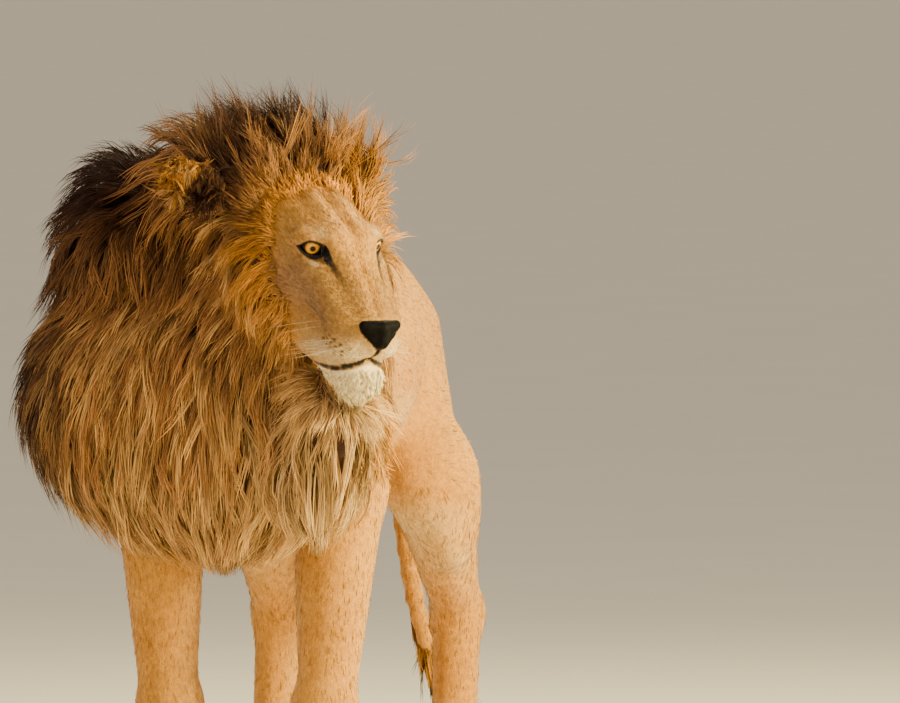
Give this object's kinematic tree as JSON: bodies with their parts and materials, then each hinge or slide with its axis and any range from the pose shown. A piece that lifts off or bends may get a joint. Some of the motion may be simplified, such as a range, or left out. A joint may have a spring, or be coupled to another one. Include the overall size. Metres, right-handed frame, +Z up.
{
  "type": "lion",
  "caption": "Life-size standing adult male lion with a full dark mane, head turned to its left and tipped down, as a still museum-type model.",
  "frame": {"origin": "on the floor, under the middle of the bounding box", "axes": "the lion's body lies along Y and faces -Y, +X is its own left, +Z is up; its head is turned 45 degrees to its left"},
  "size_m": [0.7102, 1.7872, 1.2508],
  "materials": {
    "coat": "short flat tan fur",
    "face_fur": "very short fur, grey-brown on the sides of the muzzle and gold on the forehead",
    "mane_gold": "long orange-gold hair",
    "mane_brown": "long mid-brown hair with golden streaks",
    "mane_dark": "long black-brown hair",
    "pale_fur": "cream fur",
    "nose_leather": "moist, finely pebbled",
    "eye": "clear wet cornea over an amber iris",
    "claw": "dark horn"
  },
  "bodies": {
    "root": {"barrel": "coat", "breast": "mane_brown", "ear_left": "pale_fur", "ear_right": "pale_fur", "eye_left": "eye", "eye_right": "eye", "fore_claw_left_1": "claw", "fore_claw_left_2": "claw", "fore_claw_left_3": "claw", "fore_claw_left_4": "claw", "fore_claw_right_1": "claw", "fore_claw_right_2": "claw", "fore_claw_right_3": "claw", "fore_claw_right_4": "claw", "foreleg_left": "coat", "foreleg_right": "coat", "forepaw_left": "coat", "forepaw_right": "coat", "forequarters": "coat", "head": "face_fur", "hind_claw_left_1": "claw", "hind_claw_left_2": "claw", "hind_claw_left_3": "claw", "hind_claw_left_4": "claw", "hind_claw_right_1": "claw", "hind_claw_right_2": "claw", "hind_claw_right_3": "claw", "hind_claw_right_4": "claw", "hindpaw_left": "coat", "hindpaw_right": "coat", "hindquarters": "coat", "hock_left": "coat", "hock_right": "coat", "lower_jaw": "pale_fur", "neck": "mane_dark", "nose_pad": "nose_leather", "ruff": "mane_gold", "tail_middle": "coat", "tail_root": "coat", "tail_tuft": "mane_dark", "thigh_left": "coat", "thigh_right": "coat"}
  },
  "joints": []
}
